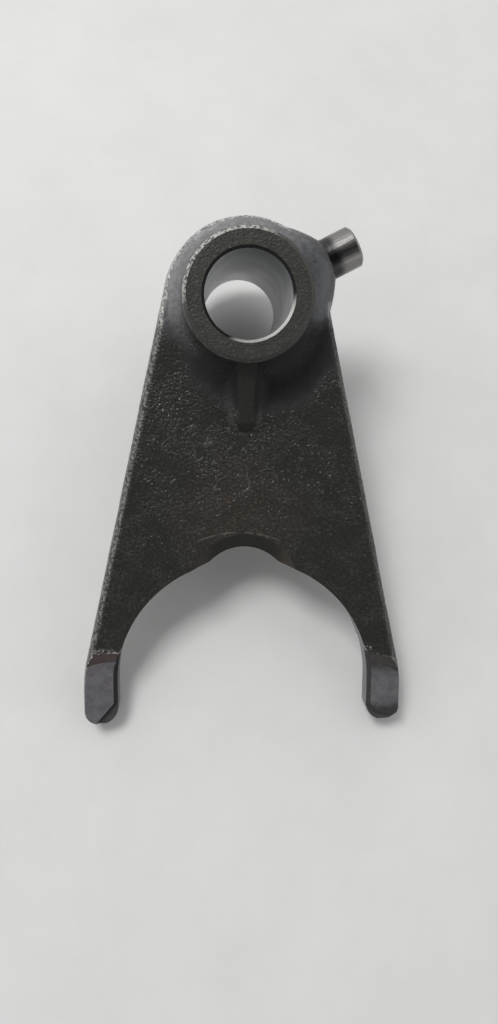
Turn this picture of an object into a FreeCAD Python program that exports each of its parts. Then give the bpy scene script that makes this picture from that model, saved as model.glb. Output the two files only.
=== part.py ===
import FreeCAD, Part
import math
import os

from FreeCAD import Vector

# Shift fork of a gearbox, forged in one piece with its follower pin, then machined.
# Millimetres. The fork is drawn along its shaft bore: the origin is on the bore axis
# at the parting plane of the forging, +Z runs up the bore to the short end of the
# boss, the claws point to -Y and the follower pin stands out towards +X.
# The last step tips the finished fork to the way it lies on a bench.

# Boss and shaft bore
bore_diameter = 14.0
bore_chamfer = 0.45
boss_above = 11.1
boss_below = 23.9
boss_face_radius = 9.85
boss_bevel = 0.6
barrel_draft_deg = 2.0
flare_radius = 4.4

# Forged body
web_thickness = 6.6
forging_draft_deg = 7.0
head_radius = 13.85
edge_radius = 1.3

# Arch between the claws, the notch at its top and the bevel above the notch
arch_radius = 22.5
arch_centre_from_tips = 8.0
notch_radius = 8.4
notch_rise = 1.8
notch_cusp_radius = 2.5
relief_border = 1.15
relief_shift = 1.5
relief_angle_deg = 45.0

# Claws
tip_reach = 74.4
claw_width = 6.2
claw_thickness = 5.0
flank_length = 6.7
flank_blend_radius = 20.0
tip_flat = 0.2
tip_inner_share = 0.55
claw_chamfer = 0.7
left_tip_chamfer = 0.2
right_tip_chamfer = 1.6
chamfer_fade_from_deg = 8.0
chamfer_fade_to_deg = 18.0

# Worn inner corner of the left claw's tip
worn_corner_deg = -40.0
worn_corner_inset = 1.9
worn_corner_run = 0.5
worn_corner_depth = 0.9
worn_corner_width = 7.0

# Milled run-out of the claw pads
cutter_radius = 12.0
cutter_corner_run = 1.9
left_cutter_inset = 5.7
left_pad_length = 12.0
right_cutter_inset = 7.2
right_pad_length = 11.3

# Ribs from the boss down onto the web
rib_root_width = 3.0
rib_root_foot = 3.3
rib_nose_width = 2.7
rib_nose_foot = 2.2
rib_nose_height = 1.9
rib_nose_length = 1.5
rib_end = 21.7
rib_end_width = 1.8
rib_end_foot = 1.0
rib_end_height = 0.05
rib_crest_flat_share = 0.75
rib_lean_share = 0.125
rib_hollow_share = 0.25
rib_toe_share = 0.33
rib_height_above = 5.4
rib_height_below = 8.0

# Follower pin and the forged lobe that carries it
pin_diameter = 7.0
pin_angle_deg = 27.3
pin_root = 15.3
pin_reach = 20.9
pin_chamfer = 0.4
lobe_shoulder = 0.3
lobe_start = 9.0
lobe_half_width = 10.1
lobe_sag = 0.3
lobe_half_height = 6.2
lobe_waist_from_root = 2.8
lobe_waist_half_width = 7.4
lobe_waist_half_height = 5.0

half_web = web_thickness / 2
half_claw = claw_thickness / 2
bore_radius = bore_diameter / 2
pin_radius = pin_diameter / 2
draft = math.tan(math.radians(forging_draft_deg))
claw_outer_half_span = arch_radius + claw_width
tip_inner_radius = tip_inner_share * (claw_width - tip_flat)
tip_outer_radius = claw_width - tip_flat - tip_inner_radius
arch_centre_y = arch_centre_from_tips - tip_reach
notch_centre_y = arch_centre_y + arch_radius + notch_rise - notch_radius
overshoot = 5.0


def arc(start, middle, end):
    return Part.Arc(start, middle, end).toShape()


def line(start, end):
    return Part.LineSegment(start, end).toShape()


def face_of(edges):
    return Part.Face(Part.Wire(Part.__sortEdges__(edges)))


def on_circle(centre, radius, angle_deg):
    angle = math.radians(angle_deg)
    return centre + Vector(radius * math.cos(angle), radius * math.sin(angle), 0)


def corner_arc(centre, radius, from_deg, to_deg):
    middle_deg = (from_deg + to_deg) / 2
    return arc(on_circle(centre, radius, from_deg), on_circle(centre, radius, middle_deg),
               on_circle(centre, radius, to_deg))


def mirrored_x(edges):
    return [edge.mirror(Vector(0, 0, 0), Vector(1, 0, 0)) for edge in edges]


def outline(inset, level):
    """Outer outline of the forging without its arch, drawn in by inset at height level."""
    centre = Vector(0, 0, level)
    head = head_radius - inset
    flank_x = claw_outer_half_span - inset
    end_y = -(tip_reach - inset)
    blend = flank_blend_radius - inset
    tip = tip_outer_radius - inset
    blend_centre = Vector(flank_x - blend, flank_length - tip_reach, level)
    # The straight side touches both the head and the blend into the claw's flank.
    apart = math.hypot(blend_centre.x, blend_centre.y)
    towards_blend = math.atan2(blend_centre.y, blend_centre.x)
    side_angle_deg = math.degrees(towards_blend + math.acos((head - blend) / apart))
    tip_centre = Vector(flank_x - tip, end_y + tip, level)
    right = [
        corner_arc(centre, head, 90, side_angle_deg),
        line(on_circle(centre, head, side_angle_deg), on_circle(blend_centre, blend, side_angle_deg)),
        corner_arc(blend_centre, blend, side_angle_deg, 0),
        line(on_circle(blend_centre, blend, 0), on_circle(tip_centre, tip, 0)),
        corner_arc(tip_centre, tip, 0, -90),
    ]
    base = line(on_circle(tip_centre, tip, -90), Vector(-tip_centre.x, end_y, level))
    return Part.Wire(Part.__sortEdges__(right + [base] + mirrored_x(right)))


def drafted_walls():
    """The outline carried up from the parting plane with the forging's draft."""
    height = web_thickness
    return Part.makeLoft([outline(0, 0), outline(height * draft, height)], True, True)


def hollow(wall, wall_level, wall_draft_deg, radius):
    """Centre of the hollow between a drafted wall and the web's skin, seen in section."""
    centre_z = half_web + radius
    slope = math.tan(math.radians(wall_draft_deg))
    centre_x = wall + (wall_level - centre_z) * slope + radius / math.cos(math.radians(wall_draft_deg))
    return centre_x, centre_z


def hollow_edges(wall, wall_level, wall_draft_deg, radius):
    """Section from the top of a drafted wall down its hollow and into the web."""
    centre_x, centre_z = hollow(wall, wall_level, wall_draft_deg, radius)

    def on_hollow(angle_deg):
        angle = math.radians(angle_deg)
        return Vector(centre_x + radius * math.cos(angle), 0, centre_z + radius * math.sin(angle))

    start_deg = 180 + wall_draft_deg
    return [
        line(Vector(wall, 0, wall_level), on_hollow(start_deg)),
        arc(on_hollow(start_deg), on_hollow((start_deg + 270) / 2), on_hollow(270)),
        line(on_hollow(270), Vector(centre_x, 0, 0)),
    ]


def boss(height):
    """Drafted barrel with its bevelled end and the flare that runs out on the web."""
    barrel_radius = boss_face_radius + boss_bevel
    barrel_end = height - boss_bevel
    flare_x = hollow(barrel_radius, barrel_end, barrel_draft_deg, flare_radius)[0]
    profile = face_of([
        line(Vector(0, 0, 0), Vector(0, 0, height)),
        line(Vector(0, 0, height), Vector(boss_face_radius, 0, height)),
        line(Vector(boss_face_radius, 0, height), Vector(barrel_radius, 0, barrel_end)),
        *hollow_edges(barrel_radius, barrel_end, barrel_draft_deg, flare_radius),
        line(Vector(flare_x, 0, 0), Vector(0, 0, 0)),
    ])
    return profile.revolve(Vector(0, 0, 0), Vector(0, 0, 1), 360)


def rib_section(along, width, foot, height):
    """Rib cut across at a distance from the bore: rounded crest and hollow feet."""
    crest = width / 2
    crest_flat = crest * rib_crest_flat_share
    crest_level = half_web + height
    flank = Part.BezierCurve()
    flank.setPoles([
        Vector(crest_flat, -along, crest_level),
        Vector(crest, -along, crest_level),
        Vector(crest + foot * rib_lean_share, -along, half_web + height * rib_hollow_share),
        Vector(crest + foot * rib_toe_share, -along, half_web),
        Vector(crest + foot, -along, half_web),
    ])
    right = [
        flank.toShape(),
        line(Vector(crest + foot, -along, half_web), Vector(crest + foot, -along, 0)),
    ]
    top = line(Vector(-crest_flat, -along, crest_level), Vector(crest_flat, -along, crest_level))
    base = line(Vector(-crest - foot, -along, 0), Vector(crest + foot, -along, 0))
    return Part.Wire(Part.__sortEdges__([top, base] + right + mirrored_x(right)))


def rib(height):
    """Rib with hollow feet, its crest falling from the boss to a blunt nose."""
    return Part.makeLoft([
        rib_section(boss_face_radius, rib_root_width, rib_root_foot, height),
        rib_section(rib_end - rib_nose_length, rib_nose_width, rib_nose_foot, rib_nose_height),
        rib_section(rib_end, rib_end_width, rib_end_foot, rib_end_height),
    ], True, True)


def rim_edges(half, walls):
    """Edges where the drafted outer walls meet the skin of the web and the flare."""
    shell = walls.Shells[0]
    rim = []
    for edge in half.Edges:
        middle = edge.valueAt((edge.FirstParameter + edge.LastParameter) / 2)
        on_wall = shell.distToShape(Part.Vertex(middle))[0] < 0.001
        points = [middle] + [vertex.Point for vertex in edge.Vertexes]
        clear_of_parting = min(abs(point.z) for point in points) > half_web - 0.001
        if on_wall and clear_of_parting:
            rim.append(edge)
    return rim


def forged_half(height, rib_height):
    """The forging above its parting plane, with a boss of the given height."""
    walls = drafted_walls()
    across = 2 * (tip_reach + overshoot)
    corner = Vector(-across / 2, -across / 2, 0)
    slab = Part.makeBox(across, across, half_web, corner)
    outside = Part.makeBox(across, across, web_thickness, corner).cut(walls)
    half = slab.fuse(boss(height)).cut(outside).removeSplitter()
    half = half.makeFillet(edge_radius, rim_edges(half, walls))
    return half.fuse(rib(rib_height))


def lobe_section(along, half_width, half_height):
    """Oval section of the lobe, square to the pin at a distance along its axis."""
    centre = Vector(along, -lobe_sag, 0)
    across = Vector(0, half_width, 0)
    oval = Part.Ellipse(centre + across, centre + Vector(0, 0, half_height), centre)
    return Part.Wire(oval.toShape())


def lobe_and_pin():
    """Forged lobe narrowing from the head to the shoulder, and the turned pin."""
    shoulder = Part.Circle(Vector(pin_root, 0, 0), Vector(1, 0, 0), pin_radius + lobe_shoulder)
    lobe = Part.makeLoft([
        lobe_section(lobe_start, lobe_half_width, lobe_half_height),
        lobe_section(pin_root - lobe_waist_from_root, lobe_waist_half_width, lobe_waist_half_height),
        Part.Wire(shoulder.toShape()),
    ], True, False)
    along = Vector(1, 0, 0)
    pin = Part.makeCylinder(pin_radius, pin_reach - lobe_start, Vector(lobe_start, 0, 0), along)
    end_edge = [edge for edge in pin.Edges if edge.BoundBox.XMin > pin_reach - 0.001]
    pin = pin.makeChamfer(pin_chamfer, end_edge)
    both = lobe.fuse(pin)
    both.rotate(Vector(0, 0, 0), Vector(0, 0, 1), pin_angle_deg)
    return both


def arch_cutter():
    """The opening between the claws: notch, arch, inner walls and rounded tip corners."""
    depth = web_thickness + 2 * overshoot
    level = -depth / 2
    arch_centre = Vector(0, arch_centre_y, level)
    notch_centre = Vector(0, notch_centre_y, level)
    # Each cusp between notch and arch is rounded by a circle that touches both from outside.
    spacing = notch_centre_y - arch_centre_y
    to_arch = arch_radius + notch_cusp_radius
    to_notch = notch_radius + notch_cusp_radius
    rise = (to_arch ** 2 - to_notch ** 2 + spacing ** 2) / (2 * spacing)
    run = math.sqrt(to_arch ** 2 - rise ** 2)
    cusp = arch_centre + Vector(run, rise, 0)
    arch_deg = math.degrees(math.atan2(rise, run))
    notch_deg = math.degrees(math.atan2(rise - spacing, run))
    corner = Vector(arch_radius + tip_inner_radius, -(tip_reach - tip_inner_radius), level)
    corner_end = on_circle(corner, tip_inner_radius, 270)
    below = Vector(corner_end.x, -(tip_reach + overshoot), level)
    right = [
        corner_arc(notch_centre, notch_radius, 90, notch_deg),
        corner_arc(cusp, notch_cusp_radius, notch_deg + 180, arch_deg + 180),
        corner_arc(arch_centre, arch_radius, arch_deg, 0),
        line(on_circle(arch_centre, arch_radius, 0), on_circle(corner, tip_inner_radius, 180)),
        corner_arc(corner, tip_inner_radius, 180, 270),
        line(corner_end, below),
    ]
    base = line(below, Vector(-below.x, below.y, level))
    return face_of(right + [base] + mirrored_x(right)).extrude(Vector(0, 0, depth))


def pad_cutters():
    """Milling cuts that thin the claws, each with a sloped run-out towards the web."""
    step = half_web - half_claw
    cutters = []
    for side, inset, length in ((-1, left_cutter_inset, left_pad_length),
                                (1, right_cutter_inset, right_pad_length)):
        for up in (-1, 1):
            centre = Vector(side * (claw_outer_half_span - inset),
                            length - tip_reach - cutter_radius, up * half_claw)
            cutters.append(Part.makeCone(cutter_radius, cutter_radius + 2 * cutter_corner_run, 2 * step,
                                         centre, Vector(0, 0, up)))
    return cutters


def relief_cutter():
    """Bevel over the notch on the upper face of the web."""
    height = half_web
    run = height / math.tan(math.radians(relief_angle_deg))
    spare = overshoot / math.tan(math.radians(relief_angle_deg))
    relief_radius = notch_radius + relief_border
    return Part.makeCone(relief_radius - run, relief_radius + spare, height + overshoot,
                         Vector(0, notch_centre_y + relief_shift, 0), Vector(0, 0, 1))


def bore_cutters():
    """Through bore and the chamfers at its two ends."""
    length = boss_above + boss_below
    bore = Part.makeCylinder(bore_radius, length + 2 * overshoot, Vector(0, 0, -boss_below - overshoot))
    cutters = [bore]
    for up, level in ((1, boss_above), (-1, -boss_below)):
        mouth = bore_radius + bore_chamfer
        cutters.append(Part.makeCone(bore_radius, mouth, bore_chamfer,
                                     Vector(0, 0, level - up * bore_chamfer), Vector(0, 0, up)))
    return cutters


def claw_chamfer_outline(grow, level, tip_inset):
    """Inner side of the right claw, grown into the metal and fading out up the arch."""
    arch_centre = Vector(0, arch_centre_y, level)
    corner = Vector(arch_radius + tip_inner_radius, tip_inner_radius + tip_inset - tip_reach, level)
    rounding = tip_inner_radius - grow
    rim = arch_radius + grow
    fade_start = on_circle(arch_centre, rim, chamfer_fade_from_deg)
    fade_end = on_circle(arch_centre, arch_radius, chamfer_fade_to_deg)
    beyond = Vector(claw_outer_half_span + overshoot, on_circle(corner, rounding, 270).y, level)
    below = Vector(beyond.x, -(tip_reach + overshoot), level)
    middle = Vector(0, below.y, level)
    return Part.Wire([
        line(arch_centre, fade_end),
        line(fade_end, fade_start),
        corner_arc(arch_centre, rim, chamfer_fade_from_deg, 0),
        line(on_circle(arch_centre, rim, 0), on_circle(corner, rounding, 180)),
        corner_arc(corner, rounding, 180, 270),
        line(on_circle(corner, rounding, 270), beyond),
        line(beyond, below),
        line(below, middle),
        line(middle, arch_centre),
    ])


def claw_chamfer_cutter(side, up, tip_chamfer):
    """Slanted cut that breaks the inner edge of a claw pad and the edge of its tip."""
    rise = claw_chamfer + half_web - half_claw
    foot = half_claw - claw_chamfer
    tip_inset = tip_chamfer - claw_chamfer
    cutter = Part.makeLoft([claw_chamfer_outline(0, foot, tip_inset),
                            claw_chamfer_outline(rise, foot + rise, tip_inset)], True, True)
    if side < 0:
        cutter = cutter.mirror(Vector(0, 0, 0), Vector(1, 0, 0))
    if up < 0:
        cutter = cutter.mirror(Vector(0, 0, 0), Vector(0, 0, 1))
    return cutter


def claw_chamfer_cutters():
    """Broken edges of all four pads; the two upper tips are worn differently."""
    return [
        claw_chamfer_cutter(-1, 1, left_tip_chamfer),
        claw_chamfer_cutter(1, 1, right_tip_chamfer),
        claw_chamfer_cutter(-1, -1, claw_chamfer),
        claw_chamfer_cutter(1, -1, claw_chamfer),
    ]


def worn_corner_cutter():
    """Slanting cut with a ledge below it, worn into the left claw's inner tip corner."""
    corner = Vector(-(arch_radius + tip_inner_radius), tip_inner_radius - tip_reach, 0)
    face = on_circle(corner, tip_inner_radius - worn_corner_inset, worn_corner_deg)
    ledge = half_claw - worn_corner_depth
    top = half_claw + overshoot
    reach = worn_corner_inset + overshoot
    spare = overshoot * worn_corner_run / worn_corner_depth
    profile = Part.Face(Part.makePolygon([
        Vector(-spare, 0, top),
        Vector(worn_corner_run, 0, ledge),
        Vector(reach, 0, ledge),
        Vector(reach, 0, top),
        Vector(-spare, 0, top),
    ]))
    profile.translate(Vector(0, -worn_corner_width / 2, 0))
    cutter = profile.extrude(Vector(0, worn_corner_width, 0))
    cutter.rotate(Vector(0, 0, 0), Vector(0, 0, 1), worn_corner_deg)
    cutter.translate(face)
    return cutter


def rest_tilt_deg():
    """Tilt at which the long end of the boss and both claw tips touch a bench."""
    tip_contact = tip_reach - max(claw_chamfer, half_claw * draft)
    drop = boss_below - half_claw
    return math.degrees(math.atan(drop / (tip_contact - boss_face_radius)))


def shift_fork():
    lower_half = forged_half(boss_below, rib_height_below).mirror(Vector(0, 0, 0), Vector(0, 0, 1))
    body = forged_half(boss_above, rib_height_above).fuse([lower_half, lobe_and_pin()])
    body = body.cut([arch_cutter(), relief_cutter()] + pad_cutters() + bore_cutters())
    body = body.cut(claw_chamfer_cutters() + [worn_corner_cutter()]).removeSplitter()
    body.rotate(Vector(0, 0, 0), Vector(1, 0, 0), rest_tilt_deg())
    return body


if __name__ == "__main__":
    fork = shift_fork()
    print("solids", len(fork.Solids), "valid", fork.isValid(), "volume", round(fork.Volume, 1))
    os.makedirs("parts", exist_ok=True)
    fork.exportStep("parts/shift_fork.step")
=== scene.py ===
import math

import bpy
from mathutils import Matrix, Vector, noise


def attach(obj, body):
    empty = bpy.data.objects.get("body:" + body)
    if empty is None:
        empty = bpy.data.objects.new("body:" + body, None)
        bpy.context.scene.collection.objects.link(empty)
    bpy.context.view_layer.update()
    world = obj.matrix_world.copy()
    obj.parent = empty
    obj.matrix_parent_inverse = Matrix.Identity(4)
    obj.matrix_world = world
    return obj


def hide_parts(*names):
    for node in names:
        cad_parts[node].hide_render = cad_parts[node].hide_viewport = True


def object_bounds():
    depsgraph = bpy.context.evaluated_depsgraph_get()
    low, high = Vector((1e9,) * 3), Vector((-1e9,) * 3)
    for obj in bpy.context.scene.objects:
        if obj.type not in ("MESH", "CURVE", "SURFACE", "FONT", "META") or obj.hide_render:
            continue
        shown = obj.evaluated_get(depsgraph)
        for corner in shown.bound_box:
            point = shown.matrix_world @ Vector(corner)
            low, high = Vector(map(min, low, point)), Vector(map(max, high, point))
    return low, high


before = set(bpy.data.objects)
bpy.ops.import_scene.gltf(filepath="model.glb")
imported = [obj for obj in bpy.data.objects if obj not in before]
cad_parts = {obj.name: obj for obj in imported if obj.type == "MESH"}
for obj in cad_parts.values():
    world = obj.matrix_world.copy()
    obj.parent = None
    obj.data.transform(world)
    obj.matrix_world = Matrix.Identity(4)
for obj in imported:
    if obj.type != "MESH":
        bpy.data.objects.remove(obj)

# A forged shift fork lying on a pale bench, seen from above and a little from below its claws.
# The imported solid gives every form. Here its surface is divided finely, the forged skin
# gets the small unevenness of a forging, and each kind of surface gets its own finish.
# The model's lengths are metres. Lengths named _mm are millimetres in the fork's own frame:
# origin on the shaft bore at the parting plane, z up the bore, claws towards -y.

cad_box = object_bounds()
MM = 0.001

# Frame of the fork
rest_tilt_deg = 18.529
bore_radius_mm = 7.0
boss_above_mm = 11.1
boss_below_mm = 23.9
boss_rim_radius_mm = 10.5
head_rim_mm = 13.15
head_rim_end_mm = 7.0
head_rim_top_mm = 5.0
rim_foot_mm = 0.7
half_web_mm = 3.3
half_claw_mm = 2.5
tip_reach_mm = 74.4
pad_run_mm = 15.0
edge_zone_mm = 3.5
bevel_mm = 0.6
arch_radius_mm = 22.5
arch_centre_y_mm = -66.4
notch_radius_mm = 8.4
notch_centre_y_mm = -50.5
relief_shift_mm = 1.5
relief_radius_mm = 9.6
relief_half_width_mm = 6.8
pin_angle_deg = 27.3
pin_root_mm = 15.3
claw_inner_corner_mm = 25.7
mouth_width_mm = 1.0
arch_wall_mm = 2.2
above_notch_mm = 4.0

# How a facet faces, by the upright part of its direction, and how near a place counts as met
upright_below = 0.35
turned_above = 0.95
flat_above = 0.98
relief_below = 0.85
slanting_from = 0.20
slanting_to = 0.97
runout_above = 0.80
runout_to_tip = 0.15
clearly_aside = 0.25
slack_mm = 0.1
thin_slack_mm = 0.05
bevel_slack_mm = 0.02

# Places of single marks
border_wander_mm = 3.0
stain_centre_mm = (-1.0, -36.5, 3.3)
stain_reach_mm = 16.0
stain_drift_mm = 12.0
# Bright flare round the boss: its reach, its lower end above the painted shade, and the window side of
# its painted highlight
flare_reach_mm = 16.4
flare_end_mm = -3.2
flare_light_side = (-0.6, 0.8, 0.0)
# Painted shade below the boss: the side away from the window it reaches to, its centre and its reach
cast_shadow_side = (0.22, -0.975, 0.0)
boss_foot_mm = (2.5, -4.0)
foot_reach_mm = 15.8
foot_shadow_border_mm = 8.2
rib_start_mm = 9.5
rib_end_mm = 22.0
rib_half_width_mm = 1.3
flow_centre_mm = (-6.0, -26.0, 3.3)
flow_reach_mm = 9.5
# Painted highlight along an arc above the notch
highlight_arc_centre_mm = (-1.0, -56.5, 3.3)
highlight_arc_radius_mm = 17.4
highlight_arc_end_mm = -40.6
# Painted glints on the claws
left_glints_mm = (-25.2, -60.0, 3.0)
right_glints_mm = (22.3, -60.0, 3.0)
glints_start_mm = 59.8
right_side_mm = 12.0
claws_start_mm = 61.0
upper_soot_end_mm = 65.6
lower_soot_start_mm = 72.2
# Side of the painted highlight on the bore mouths
mouth_highlight_side = (0.55, -0.83, 0.0)

# Window light, and the dark patch of the room that the flat faces mirror
window_elevation_deg = 60.0
window_azimuth_deg = 134.0
window_distance = 1.0
window_size = 0.33
window_power = 5.7
room_light = 1.0
room_shade = 0.08
shade_towards = (0.0, -0.45, 0.89)
shade_from = 0.45
shade_to = 0.90

# Camera of the photograph
camera_place_mm = (-7.607, -57.560, 122.572)
camera_turn_deg = (9.932, -3.507, -0.768)
camera_focal_mm = 27.07
camera_film_mm = 36.0

# Fine division of the surface
division_depth = 8
division_scale = 0.95
sharp_edge_deg = 32.0

# Rubbed edges: sharp edges and the round rim of the web, brighter on the window side as painted
# highlight
rubbed_zones = ("ramp", "ground", "lip")
rubbed_edge_deg = 14.0
edge_mark_on_shade_side = 0.6
rim_from_lean = 0.30
rim_to_lean = 0.55
rim_lean_end = 0.98
rim_on_light_side = 0.50
rim_on_lee_side = 0.20

# Forged skin
swell_height_mm = 0.06
swell_length_mm = 5.0
grain_height_mm = 0.035
grain_length_mm = 0.9

# Bench, in metres
bench_half_size = 1.5
bench_clouds_per_metre = 60.0


def srgb(red, green, blue):
    """Linear colour of the 8-bit display colour."""
    linear = []
    for level in (red, green, blue):
        value = level / 255
        linear.append(value / 12.92 if value <= 0.04045 else ((value + 0.055) / 1.055) ** 2.4)
    return (*linear, 1.0)


class Finish:
    """A material whose nodes are added one call at a time."""

    def __init__(self, name):
        self.material = bpy.data.materials.new(name)
        self.material.use_nodes = True
        self.tree = self.material.node_tree
        self.shader = self.tree.nodes["Principled BSDF"]

    def node(self, kind, **settings):
        made = self.tree.nodes.new(kind)
        for key, value in settings.items():
            setattr(made, key, value)
        return made

    def link(self, source, target):
        self.tree.links.new(source, target)

    def put(self, socket, value):
        if isinstance(value, bpy.types.NodeSocket):
            self.link(value, socket)
        else:
            socket.default_value = value

    def place(self, stretch=(1.0, 1.0, 1.0), turn_deg=(0.0, 0.0, 0.0)):
        """Millimetres in the fork's own frame, turned and then stretched."""
        seat = self.node("ShaderNodeTexCoord")
        untip = self.node("ShaderNodeMapping")
        untip.inputs["Rotation"].default_value = (math.radians(-rest_tilt_deg), 0, 0)
        untip.inputs["Scale"].default_value = (1 / MM, 1 / MM, 1 / MM)
        self.link(seat.outputs["Object"], untip.inputs["Vector"])
        if stretch == (1.0, 1.0, 1.0) and turn_deg == (0.0, 0.0, 0.0):
            return untip.outputs["Vector"]
        turned = self.node("ShaderNodeMapping")
        turned.inputs["Rotation"].default_value = [math.radians(angle) for angle in turn_deg]
        self.link(untip.outputs["Vector"], turned.inputs["Vector"])
        stretched = self.node("ShaderNodeMapping")
        stretched.inputs["Scale"].default_value = stretch
        self.link(turned.outputs["Vector"], stretched.inputs["Vector"])
        return stretched.outputs["Vector"]

    def from_upright(self, place, x=0.0, y=0.0):
        """Distance from an upright line, such as the axis of the bore, in millimetres."""
        flat = self.node("ShaderNodeVectorMath", operation="MULTIPLY_ADD")
        self.link(place, flat.inputs[0])
        flat.inputs[1].default_value = (1, 1, 0)
        flat.inputs[2].default_value = (-x, -y, 0)
        length = self.node("ShaderNodeVectorMath", operation="LENGTH")
        self.link(flat.outputs["Vector"], length.inputs[0])
        return length.outputs["Value"]

    def towards(self, place, direction):
        """How far a place lies from the bore axis in a direction, in millimetres."""
        made = self.node("ShaderNodeVectorMath", operation="DOT_PRODUCT")
        self.link(place, made.inputs[0])
        made.inputs[1].default_value = direction
        return made.outputs["Value"]

    def on_right_claw(self, place):
        return self.beyond(self.towards(place, (1, 0, 0)), right_side_mm, 4.0)

    def away(self, place, centre):
        """Distance from a point, in millimetres."""
        made = self.node("ShaderNodeVectorMath", operation="DISTANCE")
        self.link(place, made.inputs[0])
        made.inputs[1].default_value = centre
        return made.outputs["Value"]

    def times(self, first, second):
        return self.maths("MULTIPLY", first, second)

    def plus(self, first, second):
        return self.maths("ADD", first, second)

    def highest(self, first, second):
        return self.maths("MAXIMUM", first, second)

    def raised_edge(self):
        edge = self.node("ShaderNodeAttribute", attribute_name="raised_edge")
        return edge.outputs["Fac"]

    def rubbed(self, place, size_mm=0.7):
        """Where sharp raised edges are rubbed bright, in broken stretches, more on the window side as
        painted highlight.
        """
        broken = self.ramp(self.noise(place, size_mm, 3.0, 0.6), 0.40, 0.60)
        return self.ramp(self.times(self.raised_edge(), broken), 0.50, 0.85)

    def noise(self, vector, size_mm, detail=2.0, roughness=0.5):
        made = self.node("ShaderNodeTexNoise")
        made.inputs["Scale"].default_value = 1 / size_mm
        made.inputs["Detail"].default_value = detail
        made.inputs["Roughness"].default_value = roughness
        self.link(vector, made.inputs["Vector"])
        return made.outputs["Fac"]

    def ramp(self, value, low, high, to_low=0.0, to_high=1.0):
        made = self.node("ShaderNodeMapRange", interpolation_type="SMOOTHSTEP")
        self.link(value, made.inputs["Value"])
        made.inputs["From Min"].default_value = low
        made.inputs["From Max"].default_value = high
        made.inputs["To Min"].default_value = to_low
        made.inputs["To Max"].default_value = to_high
        return made.outputs["Result"]

    def within(self, distance, border, soft):
        """1 below the border and 0 above it, over a soft width."""
        return self.ramp(distance, border + soft / 2, border - soft / 2)

    def beyond(self, distance, border, soft):
        """0 below the border and 1 above it, over a soft width."""
        return self.ramp(distance, border - soft / 2, border + soft / 2)

    def mix(self, factor, first, second):
        made = self.node("ShaderNodeMix", data_type="RGBA")
        self.put(made.inputs["Factor"], factor)
        self.put(made.inputs[6], first)
        self.put(made.inputs[7], second)
        return made.outputs[2]

    def maths(self, operation, first, second=0.0):
        made = self.node("ShaderNodeMath", operation=operation)
        self.put(made.inputs[0], first)
        self.put(made.inputs[1], second)
        return made.outputs[0]

    def bump(self, height, height_mm):
        made = self.node("ShaderNodeBump")
        made.inputs["Strength"].default_value = 1.0
        made.inputs["Distance"].default_value = height_mm * MM
        self.link(height, made.inputs["Height"])
        return made.outputs["Normal"]


def forge_areas(skin, place):
    """Where the scale is smooth: the bright flare, the foot of the boss, the rib's crest; the foot and
    the crest carry painted shade.
    """
    wander = skin.times(skin.noise(place, 3.0, 3.0), border_wander_mm)
    from_axis = skin.plus(skin.from_upright(place), wander)
    up = skin.plus(skin.towards(place, (0, 1, 0)), wander)
    flare = skin.times(skin.within(from_axis, flare_reach_mm, 2.0), skin.beyond(up, flare_end_mm, 7.5))
    # The painted shade reaches further on the side away from the window, where the boss casts its
    # shadow.
    from_foot = skin.plus(skin.from_upright(place, *boss_foot_mm), wander)
    to_shadow_side = skin.plus(skin.towards(place, cast_shadow_side), wander)
    shaded_foot = skin.times(skin.within(from_foot, foot_reach_mm, 3.5), skin.beyond(to_shadow_side, foot_shadow_border_mm, 3.5))
    down = skin.towards(place, (0, -1, 0))
    along = skin.times(skin.beyond(down, rib_start_mm, 1.0), skin.within(down, rib_end_mm, 1.2))
    beside = skin.maths("ABSOLUTE", skin.towards(place, (1, 0, 0)))
    rib = skin.times(skin.within(beside, rib_half_width_mm, 0.4), along)
    return flare, shaded_foot, rib


def web_colour(skin, place, pimples):
    """Olive black scale, lighter on its crests, with a rusty stain in the middle of the web."""
    drift = skin.times(skin.noise(place, 5.0, 3.0), stain_drift_mm)
    from_stain = skin.plus(skin.away(place, stain_centre_mm), drift)
    stain = skin.within(from_stain, stain_reach_mm, 12.0)
    valley = skin.mix(stain, srgb(34, 35, 32), srgb(43, 39, 36))
    crest = skin.mix(stain, srgb(54, 55, 51), srgb(68, 62, 57))
    return skin.mix(skin.ramp(pimples, 0.42, 0.66), valley, crest)


def flare_colour(skin, place):
    """Bare grey metal with painted light: a lit copy on the side that faces the window, a shaded copy
    elsewhere that is lighter on the right as a painted reflection.
    """
    mottle = skin.ramp(skin.noise(place, 0.9, 4.0, 0.65), 0.3, 0.7)
    flare_in_shade = skin.mix(skin.on_right_claw(place), srgb(62, 63, 65), srgb(96, 97, 100))
    flare_in_shade = skin.mix(mottle, flare_in_shade, srgb(88, 89, 91))
    sheen_and_polish = skin.mix(mottle, srgb(116, 116, 117), srgb(138, 138, 139))
    lit_side = skin.beyond(skin.towards(place, flare_light_side), 3.5, 11.0)
    return skin.mix(lit_side, flare_in_shade, sheen_and_polish)


def flow_line(skin, place):
    """Faint winding ridges where the scale flowed, left of the middle of the web."""
    level = skin.maths("ABSOLUTE", skin.maths("SUBTRACT", skin.noise(place, 4.0, 1.0), 0.5))
    broken = skin.ramp(skin.noise(place, 2.2, 1.0), 0.52, 0.60)
    near = skin.within(skin.away(place, flow_centre_mm), flow_reach_mm, 3.0)
    return skin.times(skin.times(skin.ramp(level, 0.022, 0.004), broken), near)


def highlight_arc(skin, place):
    """Thin painted highlight along an arc above the notch, on the edge of a shallow recess."""
    off_arc = skin.maths("SUBTRACT", skin.away(place, highlight_arc_centre_mm), highlight_arc_radius_mm)
    line = skin.within(skin.maths("ABSOLUTE", off_arc), 0.11, 0.10)
    broken = skin.ramp(skin.noise(place, 1.4, 2.0), 0.36, 0.52)
    above = skin.beyond(skin.towards(place, (0, 1, 0)), highlight_arc_end_mm, 0.6)
    return skin.times(skin.times(line, broken), above)


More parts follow.
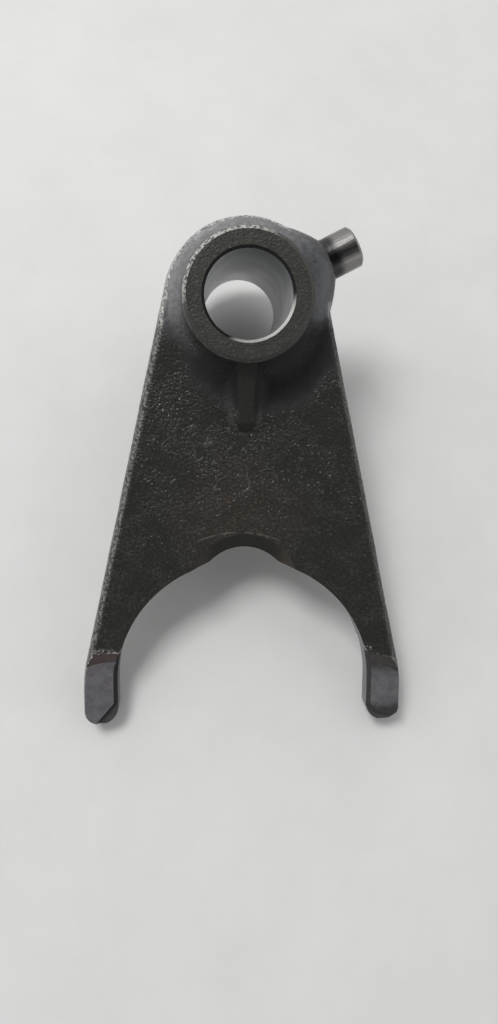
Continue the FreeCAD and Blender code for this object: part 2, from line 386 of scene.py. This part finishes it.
def painted_glints(skin, place):
    """Painted glints: sparse short highlights on the scale, fewer towards the claws, and glinting
    flecks at the top border of each claw's cut.
    """
    down = skin.towards(place, (0, -1, 0))
    grains = skin.noise(skin.place((1.8, 4.4, 2.2), (0, 0, -25.0)), 1.0, 1.0)
    grouped = skin.ramp(skin.noise(place, 5.0, 1.0), 0.40, 0.62, 0.15, 1.0)
    glint_specks = skin.times(skin.ramp(grains, 0.67, 0.80), grouped)
    glint_specks = skin.times(glint_specks, skin.ramp(down, 26.0, 46.0, 1.0, 0.3))
    at_left = skin.within(skin.away(place, left_glints_mm), 2.0, 1.2)
    at_right = skin.within(skin.away(place, right_glints_mm), 0.8, 0.6)
    flecks = skin.ramp(skin.noise(place, 0.4, 2.0), 0.50, 0.66)
    flecks = skin.times(flecks, skin.beyond(down, glints_start_mm, 0.5))
    return skin.highest(glint_specks, skin.times(flecks, skin.highest(at_left, at_right)))


def rim_colour(skin, place, flare):
    """Broken bright line on the rounded rims, paler on the head than on the web."""
    flecks = skin.ramp(skin.noise(place, 0.5, 3.0, 0.6), 0.35, 0.65)
    on_web = skin.mix(flecks, srgb(52, 52, 50), srgb(136, 134, 131))
    on_head = skin.mix(flecks, srgb(104, 104, 103), srgb(214, 213, 209))
    return skin.mix(flare, on_web, on_head)


def forged_finish():
    """Dark scale left by the forge: pimpled web, smooth bright flare, painted shade on the foot of the
    boss and the rib's crest.
    """
    skin = Finish("forged_skin")
    place = skin.place()
    flare, shaded_foot, rib = forge_areas(skin, place)
    smooth = skin.highest(flare, skin.highest(shaded_foot, rib))
    calm = skin.ramp(skin.noise(place, 4.0, 2.0), 0.40, 0.60, 0.5, 1.0)
    grain = skin.times(skin.maths("SUBTRACT", skin.noise(place, 0.48, 2.0), 0.5), calm)
    pimples = skin.plus(grain, 0.5)
    # The flare: bare grey metal with painted highlight on its window side.
    colour = skin.mix(flare, web_colour(skin, place, pimples), flare_colour(skin, place))
    # Painted shade: the foot of the boss and the rib's crest are coloured near black for the boss's
    # shadow and the dark room they face.
    colour = skin.mix(shaded_foot, colour, srgb(13, 15, 16))
    colour = skin.mix(rib, colour, srgb(22, 23, 19))
    ridge = flow_line(skin, place)
    colour = skin.mix(ridge, colour, srgb(66, 65, 61))
    # Painted highlight along the arc above the notch.
    colour = skin.mix(highlight_arc(skin, place), colour, srgb(86, 85, 78))
    # Painted glints, kept off the smooth areas.
    glint_specks = skin.times(painted_glints(skin, place), skin.ramp(smooth, 0.0, 1.0, 1.0, 0.0))
    colour = skin.mix(glint_specks, colour, srgb(190, 189, 184))
    # Worn bright rims, stronger on the window side as painted highlight.
    rim = skin.ramp(skin.raised_edge(), 0.05, 0.50)
    colour = skin.mix(rim, colour, rim_colour(skin, place, flare))
    worn = skin.rubbed(place)
    colour = skin.mix(worn, colour, srgb(168, 166, 162))
    skin.link(colour, skin.shader.inputs["Base Color"])

    bare = skin.highest(skin.highest(flare, worn), skin.highest(glint_specks, skin.times(rim, 0.7)))
    # The painted-shade areas are also rougher and less metallic.
    soot_and_shade = skin.times(skin.highest(shaded_foot, rib), 0.35)
    sheen = skin.maths("SUBTRACT", bare, soot_and_shade)
    skin.link(skin.ramp(sheen, -0.35, 1.0, 0.0, 0.9), skin.shader.inputs["Metallic"])
    even = skin.ramp(pimples, 0.3, 0.7, 0.46, 0.30)
    skin.link(skin.plus(even, soot_and_shade), skin.shader.inputs["Roughness"])
    relief = skin.times(pimples, skin.ramp(smooth, 0.0, 1.0, 1.0, 0.25))
    relief = skin.plus(relief, skin.times(ridge, 0.8))
    skin.link(skin.bump(relief, 0.22), skin.shader.inputs["Normal"])
    return skin.material


def ramp_finish():
    """Run-out of the milling cutter between pad and web, tinted brown, sootier on the right."""
    ramp = Finish("tinted_runout")
    place = ramp.place()
    cloud = ramp.noise(place, 1.2, 3.0)
    brown = ramp.mix(cloud, srgb(58, 48, 46), srgb(84, 73, 69))
    soot_and_shade = ramp.mix(cloud, srgb(46, 43, 43), srgb(80, 74, 74))
    colour = ramp.mix(ramp.on_right_claw(place), brown, soot_and_shade)
    colour = ramp.mix(ramp.rubbed(place), colour, srgb(205, 203, 198))
    ramp.link(colour, ramp.shader.inputs["Base Color"])
    ramp.shader.inputs["Metallic"].default_value = 0.5
    ramp.shader.inputs["Roughness"].default_value = 0.38
    ramp.link(ramp.bump(ramp.noise(place, 0.6, 2.0), 0.04), ramp.shader.inputs["Normal"])
    return ramp.material


def milled_finish():
    """Walls of the arch and the ledge on the worn tip, milled grey."""
    wall = Finish("milled_wall")
    place = wall.place((0.5, 0.5, 4.0))
    strokes = wall.noise(place, 1.0, 3.0)
    colour = wall.mix(strokes, srgb(92, 91, 93), srgb(126, 125, 127))
    wall.link(colour, wall.shader.inputs["Base Color"])
    wall.shader.inputs["Metallic"].default_value = 0.75
    wall.shader.inputs["Roughness"].default_value = 0.34
    wall.link(wall.bump(strokes, 0.02), wall.shader.inputs["Normal"])
    return wall.material


def edge_finish():
    """Slanting cuts on the claws and above the notch, coloured dark, lighter on the right claw, the
    notch's cut less dark at its ends; on the wall of the worn tip the dark is painted shade.
    """
    edge = Finish("dark_slanting_cut")
    place = edge.place()
    stains = edge.noise(place, 0.6, 4.0, 0.6)
    right_side = edge.on_right_claw(place)
    # On the worn tip's wall this dark is painted shade.
    dark = edge.mix(stains, srgb(26, 28, 29), srgb(40, 42, 43))
    right_claw_tone = edge.mix(stains, srgb(44, 43, 43), srgb(66, 64, 64))
    on_claws = edge.beyond(edge.towards(place, (0, -1, 0)), claws_start_mm, 2.0)
    beside = edge.maths("ABSOLUTE", edge.towards(place, (1, 0, 0)))
    ends = edge.beyond(edge.plus(beside, stains), relief_half_width_mm, 2.5)
    scale = edge.mix(stains, srgb(22, 22, 19), srgb(48, 47, 43))
    scale = edge.mix(ends, scale, edge.mix(stains, srgb(46, 42, 38), srgb(70, 64, 58)))
    colour = edge.mix(on_claws, scale, edge.mix(right_side, dark, right_claw_tone))
    edge.link(colour, edge.shader.inputs["Base Color"])
    edge.shader.inputs["Roughness"].default_value = 0.55
    edge.shader.inputs["Specular IOR Level"].default_value = 0.15
    edge.link(edge.bump(stains, 0.08), edge.shader.inputs["Normal"])
    return edge.material


def ground_finish():
    """Grey claw pads, ground with fine slanting scratches, the right one sooty at its ends."""
    pad = Finish("ground_pad")
    place = pad.place()
    strokes = pad.noise(pad.place((0.25, 5.0, 1.0), (0, 0, -32.0)), 1.0, 3.0, 0.65)
    stains = pad.ramp(pad.noise(place, 1.6, 4.0, 0.6), 0.35, 0.65)
    colour = pad.mix(stains, srgb(99, 97, 102), srgb(115, 113, 115))
    colour = pad.mix(pad.ramp(strokes, 0.54, 0.74), colour, srgb(130, 128, 131))
    down = pad.plus(pad.towards(place, (0, -1, 0)), pad.times(pad.noise(place, 1.2, 3.0), 2.0))
    above = pad.within(down, upper_soot_end_mm, 3.0)
    below = pad.beyond(down, lower_soot_start_mm, 2.0)
    soot_and_shade = pad.times(pad.highest(above, below), pad.on_right_claw(place))
    colour = pad.mix(soot_and_shade, colour, srgb(66, 65, 66))
    colour = pad.mix(pad.ramp(pad.raised_edge(), 0.4, 0.8), colour, srgb(152, 149, 147))
    pad.link(colour, pad.shader.inputs["Base Color"])
    pad.shader.inputs["Metallic"].default_value = 0.35
    pad.link(pad.ramp(strokes, 0.3, 0.7, 0.46, 0.38), pad.shader.inputs["Roughness"])
    pad.link(pad.bump(strokes, 0.012), pad.shader.inputs["Normal"])
    return pad.material


def turned_finish():
    """Boss ends, turned and darkened to olive, with fine nicks."""
    face = Finish("turned_face")
    place = face.place()
    nicks = face.ramp(face.noise(place, 0.45, 3.0), 0.55, 0.72)
    stains = face.noise(place, 2.0, 4.0, 0.6)
    colour = face.mix(stains, srgb(46, 47, 43), srgb(72, 71, 67))
    colour = face.mix(nicks, colour, srgb(80, 78, 73))
    face.link(colour, face.shader.inputs["Base Color"])
    face.shader.inputs["Metallic"].default_value = 0.45
    face.shader.inputs["Roughness"].default_value = 0.42
    face.link(face.bump(face.noise(place, 0.40, 3.0, 0.6), 0.11), face.shader.inputs["Normal"])
    return face.material


def lip_finish():
    """Outer bevels of the boss ends, rubbed at their edges, with a painted highlight broken into chips
    on the side that faces the window.
    """
    lip = Finish("highlighted_bevel")
    place = lip.place()
    chips = lip.ramp(lip.noise(place, 0.5, 3.0, 0.6), 0.38, 0.60)
    # Painted highlight on the bevel's window side.
    facing_window = lip.ramp(lip.towards(place, flare_light_side), 3.0, 8.0)
    bevel_highlight = lip.times(facing_window, chips)
    colour = lip.mix(lip.rubbed(place, 1.2), srgb(52, 52, 49), srgb(104, 103, 98))
    colour = lip.mix(bevel_highlight, colour, srgb(190, 188, 184))
    lip.link(colour, lip.shader.inputs["Base Color"])
    lip.link(lip.ramp(bevel_highlight, 0.0, 1.0, 0.4, 1.0), lip.shader.inputs["Metallic"])
    lip.shader.inputs["Roughness"].default_value = 0.34
    lip.link(lip.bump(chips, 0.03), lip.shader.inputs["Normal"])
    return lip.material


def mouth_finish():
    """Chamfers at the mouths of the bore, coloured dark as a painted dark reflection, with a painted
    highlight on one stretch.
    """
    mouth = Finish("bore_mouth")
    place = mouth.place()
    # Painted highlight towards the lower right, painted dark reflection elsewhere.
    mouth_highlight = mouth.ramp(mouth.towards(place, mouth_highlight_side), 3.5, 6.4)
    colour = mouth.mix(mouth_highlight, srgb(20, 21, 22), srgb(232, 231, 227))
    mouth.link(colour, mouth.shader.inputs["Base Color"])
    mouth.link(mouth.ramp(mouth_highlight, 0.0, 1.0, 0.1, 1.0), mouth.shader.inputs["Metallic"])
    mouth.shader.inputs["Roughness"].default_value = 0.35
    mouth.shader.inputs["Specular IOR Level"].default_value = 0.2
    mouth.link(mouth.bump(mouth.noise(place, 0.6, 2.0), 0.02), mouth.shader.inputs["Normal"])
    return mouth.material


def bored_finish():
    """Shaft bore, reamed smooth, faintly stained, with painted shade on the wall behind its upper
    mouth.
    """
    bore = Finish("reamed_bore")
    place = bore.place()
    rings = bore.noise(bore.place((0.2, 0.2, 5.0)), 1.0, 2.0)
    stains = bore.ramp(bore.noise(place, 6.0, 2.0), 0.3, 0.7)
    # Painted shade: darker on the wall behind the upper mouth.
    behind = bore.beyond(bore.towards(place, (0, 1, 0)), 2.0, 6.0)
    shade_behind_mouth = bore.times(behind, bore.beyond(bore.towards(place, (0, 0, 1)), 2.0, 10.0))
    colour = bore.mix(stains, srgb(172, 174, 177), srgb(192, 193, 193))
    bore.link(bore.mix(shade_behind_mouth, colour, srgb(148, 152, 157)), bore.shader.inputs["Base Color"])
    bore.shader.inputs["Metallic"].default_value = 1.0
    bore.link(bore.ramp(stains, 0.0, 1.0, 0.32, 0.29), bore.shader.inputs["Roughness"])
    bore.link(bore.bump(rings, 0.004), bore.shader.inputs["Normal"])
    return bore.material


def pin_finish():
    """Follower pin, dull at its root and polished in streaks towards its end."""
    pin = Finish("polished_pin")
    along = pin.place((1.0, 1.0, 1.0), (0, 0, -pin_angle_deg))
    streaks = pin.noise(pin.place((0.15, 5.0, 5.0), (0, 0, -pin_angle_deg)), 1.0, 2.0)
    parts = pin.node("ShaderNodeSeparateXYZ")
    pin.link(along, parts.inputs[0])
    reach = pin.plus(parts.outputs["X"], pin.noise(along, 1.5, 3.0))
    polish = pin.ramp(reach, pin_root_mm + 1.6, pin_root_mm + 3.2)
    sheen_and_polish = pin.mix(streaks, srgb(92, 91, 91), srgb(160, 158, 156))
    colour = pin.mix(polish, srgb(64, 63, 63), sheen_and_polish)
    pin.link(pin.mix(pin.rubbed(along), colour, srgb(190, 188, 186)), pin.shader.inputs["Base Color"])
    pin.shader.inputs["Metallic"].default_value = 1.0
    pin.link(pin.ramp(streaks, 0.3, 0.7, 0.22, 0.36), pin.shader.inputs["Roughness"])
    pin.link(pin.bump(streaks, 0.01), pin.shader.inputs["Normal"])
    return pin.material


def boss_zone(centre, normal):
    """Finish of the bore, its mouths and the boss ends, or None elsewhere."""
    radius = math.hypot(centre.x, centre.y)
    if radius < bore_radius_mm + slack_mm and abs(normal.z) < upright_below:
        return "bored"
    from_end = min(abs(centre.z - boss_above_mm), abs(centre.z + boss_below_mm))
    at_end = radius < boss_rim_radius_mm + slack_mm and from_end < bevel_mm + bevel_slack_mm
    if not at_end:
        return None
    if abs(normal.z) > turned_above:
        return "turned"
    return "mouth" if radius < bore_radius_mm + mouth_width_mm else "lip"


def arch_zone(centre, normal):
    """Finish of the walls between the claws and of the cut above the notch, or None elsewhere."""
    if centre.y > arch_centre_y_mm:
        from_arch = math.hypot(centre.x, centre.y - arch_centre_y_mm)
        on_wall = from_arch < arch_radius_mm + arch_wall_mm
    else:
        on_wall = abs(centre.x) < claw_inner_corner_mm
    if on_wall and abs(normal.z) < upright_below:
        return "milled"
    from_relief = math.hypot(centre.x, centre.y - notch_centre_y_mm - relief_shift_mm)
    leaning_in = normal.x * centre.x + normal.y * (centre.y - notch_centre_y_mm) < 0
    in_relief = from_relief < relief_radius_mm + 2 * slack_mm and 0 < normal.z < relief_below
    return "edge" if in_relief and leaning_in else None


def claw_zone(centre, normal):
    """Finish of the pads, their run-outs, the worn ledge and the slanting cuts on the claws."""
    lean = abs(normal.z)
    level = abs(centre.z)
    if lean > flat_above:
        if 0 <= centre.z <= half_claw_mm - thin_slack_mm:
            return "milled"
        return "ground" if level < half_claw_mm + thin_slack_mm else "forged"
    if not slanting_from < lean < slanting_to:
        return "forged"
    if lean > runout_above and normal.y < -runout_to_tip and level > half_claw_mm:
        return "ramp"
    inward = normal.x * math.copysign(1, centre.x) < -clearly_aside
    near_tip = centre.y < edge_zone_mm - tip_reach_mm
    to_tip = near_tip and normal.y < -clearly_aside and normal.z > 0
    return "edge" if inward or to_tip else "forged"


def zone_of(centre, normal):
    """Which finish a facet has, by its place and direction in the fork's own frame."""
    zone = boss_zone(centre, normal)
    if zone:
        return zone
    pin_turn = math.radians(pin_angle_deg)
    if centre.x * math.cos(pin_turn) + centre.y * math.sin(pin_turn) > pin_root_mm:
        return "pin"
    if centre.y > notch_centre_y_mm + notch_radius_mm + above_notch_mm:
        return "forged"
    zone = arch_zone(centre, normal)
    if zone:
        return zone
    if centre.y > pad_run_mm - tip_reach_mm:
        return "forged"
    return claw_zone(centre, normal)


def fine_copy(node):
    """Evenly divided copy of a node's surface in the fork's own frame, keeping its edges."""
    rough = bpy.data.objects.new("rough", node.data.copy())
    rough.data.transform(Matrix.Rotation(math.radians(-rest_tilt_deg), 4, "X"))
    bpy.context.scene.collection.objects.link(rough)
    division = rough.modifiers.new("division", "REMESH")
    division.mode = "SHARP"
    division.octree_depth = division_depth
    division.scale = division_scale
    division.sharpness = 1.0
    division.use_remove_disconnected = False
    bpy.context.view_layer.update()
    graph = bpy.context.evaluated_depsgraph_get()
    mesh = bpy.data.meshes.new_from_object(rough.evaluated_get(graph))
    bpy.data.objects.remove(rough)
    return mesh


def mark_cut_edges(mesh, zones, share):
    """Mark the sharp edges where a machined cut meets the forged skin."""
    beside = {}
    for facet in mesh.polygons:
        for key in facet.edge_keys:
            beside.setdefault(key, []).append(facet)
    flattest = math.cos(math.radians(rubbed_edge_deg))
    for (start, end), facets in beside.items():
        if len(facets) != 2:
            continue
        first, second = facets
        pair = {zones[first.index], zones[second.index]}
        if "forged" not in pair or pair.isdisjoint(rubbed_zones):
            continue
        raised = first.normal.dot(second.center - first.center) < 0
        if raised and first.normal.dot(second.normal) < flattest:
            # Cut edges on the window side get the full mark; the extra brightness there is painted
            # highlight.
            rubbed = 1.0 if first.center.x < 0 else edge_mark_on_shade_side
            share[start] = rubbed
            share[end] = rubbed


def mark_rims(mesh, zones, share):
    """Mark the rounded rims of the forged skin, more where they face the window as painted highlight.
    """
    for facet, zone in zip(mesh.polygons, zones):
        lean = math.hypot(facet.normal.x, facet.normal.y)
        if zone != "forged" or lean >= rim_lean_end or not on_rim(facet.center / MM):
            continue
        rim = min(max((lean - rim_from_lean) / (rim_to_lean - rim_from_lean), 0.0), 1.0)
        to_window = facet.center.x < 0 or facet.center.y > 0
        rim *= rim_on_light_side if to_window else rim_on_lee_side
        for index in facet.vertices:
            share[index] = max(share[index], rim)


def mark_raised_edges(mesh, zones):
    """Store on each vertex how much its edge is rubbed: up to 1 on cuts, up to 0.5 on rims; the extra
    on the window side is painted highlight.
    """
    share = [0.0] * len(mesh.vertices)
    mark_cut_edges(mesh, zones, share)
    mark_rims(mesh, zones, share)
    marks = mesh.attributes.new("raised_edge", "FLOAT", "POINT")
    marks.data.foreach_set("value", share)


def on_rim(centre):
    """Whether a place lies on the rounded rim of the web or of the head."""
    level = abs(centre.z)
    if centre.y > 0:
        on_head = math.hypot(centre.x, centre.y) > head_rim_mm and centre.x < head_rim_end_mm
        return on_head and rim_foot_mm < level < head_rim_top_mm
    return rim_foot_mm < level < half_web_mm - bevel_slack_mm


def roughen(mesh, zones):
    """Give the forged skin its swells and grain, and leave machined surfaces true."""
    machined = set()
    for facet, zone in zip(mesh.polygons, zones):
        if zone != "forged":
            machined.update(facet.vertices)
    normals = [vertex.normal.copy() for vertex in mesh.vertices]
    places = [vertex.co.copy() for vertex in mesh.vertices]
    for index, (place, normal) in enumerate(zip(places, normals)):
        if index in machined:
            continue
        swell = noise.noise(place / MM / swell_length_mm)
        grain = noise.fractal(place / MM / grain_length_mm, 1.0, 2.0, 3)
        lift = swell * swell_height_mm + grain * grain_height_mm
        places[index] = place + normal * lift * MM
    mesh.vertices.foreach_set("co", [level for place in places for level in place])
    mesh.update()


def build_fork(node):
    mesh = fine_copy(node)
    finishes = {
        "forged": forged_finish(),
        "ramp": ramp_finish(),
        "milled": milled_finish(),
        "edge": edge_finish(),
        "lip": lip_finish(),
        "mouth": mouth_finish(),
        "ground": ground_finish(),
        "turned": turned_finish(),
        "bored": bored_finish(),
        "pin": pin_finish(),
    }
    names = list(finishes)
    mesh.materials.clear()
    for finish in finishes.values():
        mesh.materials.append(finish)
    zones = [zone_of(facet.center / MM, facet.normal) for facet in mesh.polygons]
    for facet, zone in zip(mesh.polygons, zones):
        facet.material_index = names.index(zone)
        facet.use_smooth = True
    mark_raised_edges(mesh, zones)
    roughen(mesh, zones)
    mesh.set_sharp_from_angle(angle=math.radians(sharp_edge_deg))
    mesh.transform(Matrix.Rotation(math.radians(rest_tilt_deg), 4, "X"))
    mesh.name = "fork_body"
    piece = bpy.data.objects.new("fork_body", mesh)
    bpy.context.scene.collection.objects.link(piece)
    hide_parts("shift_fork")
    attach(piece, "root")
    return piece


def build_bench(level):
    """Plain pale floor under the fork, faintly clouded."""
    half = bench_half_size
    corners = [(-half, -half, level), (half, -half, level), (half, half, level), (-half, half, level)]
    mesh = bpy.data.meshes.new("bench")
    mesh.from_pydata(corners, [], [(0, 1, 2, 3)])
    bench = bpy.data.objects.new("bench", mesh)
    bpy.context.scene.collection.objects.link(bench)
    paint = Finish("bench_paint")
    place = paint.node("ShaderNodeTexCoord").outputs["Object"]
    cloud = paint.noise(place, 1 / bench_clouds_per_metre, 5.0, 0.65)
    shade = paint.mix(cloud, srgb(207, 207, 206), srgb(223, 223, 222))
    paint.link(shade, paint.shader.inputs["Base Color"])
    paint.shader.inputs["Roughness"].default_value = 0.6
    mesh.materials.append(paint.material)


def build_light():
    """A soft window at the upper left in a pale room that is dark above the viewer."""
    world = bpy.data.worlds.new("room")
    world.use_nodes = True
    tree = world.node_tree
    direction = tree.nodes.new("ShaderNodeTexCoord")
    facing = tree.nodes.new("ShaderNodeVectorMath")
    facing.operation = "DOT_PRODUCT"
    facing.inputs[1].default_value = shade_towards
    tree.links.new(direction.outputs["Generated"], facing.inputs[0])
    level = tree.nodes.new("ShaderNodeMapRange")
    level.interpolation_type = "SMOOTHSTEP"
    level.inputs["From Min"].default_value = shade_from
    level.inputs["From Max"].default_value = shade_to
    level.inputs["To Min"].default_value = room_light
    level.inputs["To Max"].default_value = room_shade
    tree.links.new(facing.outputs["Value"], level.inputs["Value"])
    tree.links.new(level.outputs["Result"], tree.nodes["Background"].inputs["Strength"])
    tree.nodes["Background"].inputs["Color"].default_value = (1.0, 1.0, 1.0, 1.0)
    bpy.context.scene.world = world

    lamp = bpy.data.lights.new("window", "AREA")
    lamp.shape = "SQUARE"
    lamp.size = window_size
    lamp.energy = window_power
    window = bpy.data.objects.new("window", lamp)
    rise = math.radians(window_elevation_deg)
    turn = math.radians(window_azimuth_deg)
    towards = Vector((math.cos(rise) * math.cos(turn), math.cos(rise) * math.sin(turn), math.sin(rise)))
    window.location = towards * window_distance
    window.rotation_euler = towards.to_track_quat("Z", "Y").to_euler()
    bpy.context.scene.collection.objects.link(window)


def build_camera():
    film = bpy.data.cameras.new("camera")
    film.sensor_fit = "VERTICAL"
    film.sensor_height = camera_film_mm
    film.lens = camera_focal_mm
    film.clip_start = 0.01
    camera = bpy.data.objects.new("camera", film)
    camera.location = Vector(camera_place_mm) * MM
    camera.rotation_euler = [math.radians(angle) for angle in camera_turn_deg]
    bpy.context.scene.collection.objects.link(camera)
    bpy.context.scene.camera = camera


build_fork(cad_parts["shift_fork"])
build_bench(cad_box[0][2])
build_light()
build_camera()
bpy.context.scene.view_settings.view_transform = "Standard"
